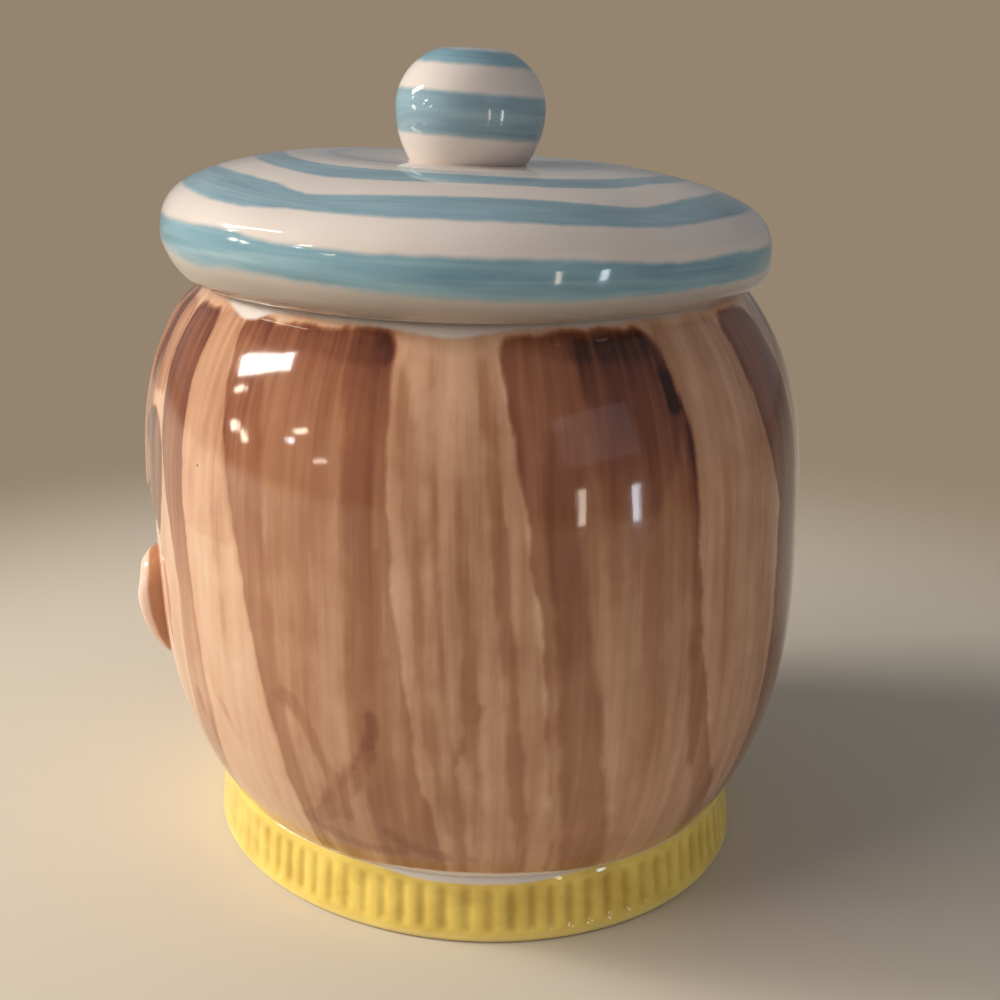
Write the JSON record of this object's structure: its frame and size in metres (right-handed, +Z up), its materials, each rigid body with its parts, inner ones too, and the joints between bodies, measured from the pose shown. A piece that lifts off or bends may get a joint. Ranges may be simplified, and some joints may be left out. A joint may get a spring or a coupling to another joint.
{
  "type": "biscuit jar",
  "caption": "Glazed earthenware biscuit jar shaped as a child's head, with a yellow fluted collar foot and a lift-off lid in the form of a blue and cream striped cap with a ball knob.",
  "frame": {"origin": "centre of the flat base, where the jar stands", "axes": "+Z up; the face looks along -Y; +X is the side of the left ear"},
  "size_m": [0.2122, 0.2396, 0.2402],
  "materials": {
    "hair_glaze": "brushed brown underglaze on cream earthenware, clear gloss glaze",
    "collar_glaze": "yellow underglaze, clear gloss glaze",
    "skin_glaze": "pale pink underglaze, clear gloss glaze",
    "lip_glaze": "rose underglaze, clear gloss glaze",
    "cap_glaze": "cream glaze with blue-grey banding, clear gloss glaze"
  },
  "bodies": {
    "jar": {"head_shell": "hair_glaze", "neck_collar": "collar_glaze", "ear_left": "skin_glaze", "ear_right": "skin_glaze", "nose": "skin_glaze", "lips": "lip_glaze", "fringe_left": "hair_glaze", "fringe_right": "hair_glaze", "temple_lock_left": "hair_glaze", "temple_lock_right": "hair_glaze"},
    "lid": {"cap_shell": "cap_glaze", "locating_ring": "cap_glaze", "knob": "cap_glaze"}
  },
  "joints": [
    {"name": "lid_lift", "type": "slide", "parent": "jar", "child": "lid", "axis": [0, 0, 1], "range_m": [0, 0.12]}
  ]
}
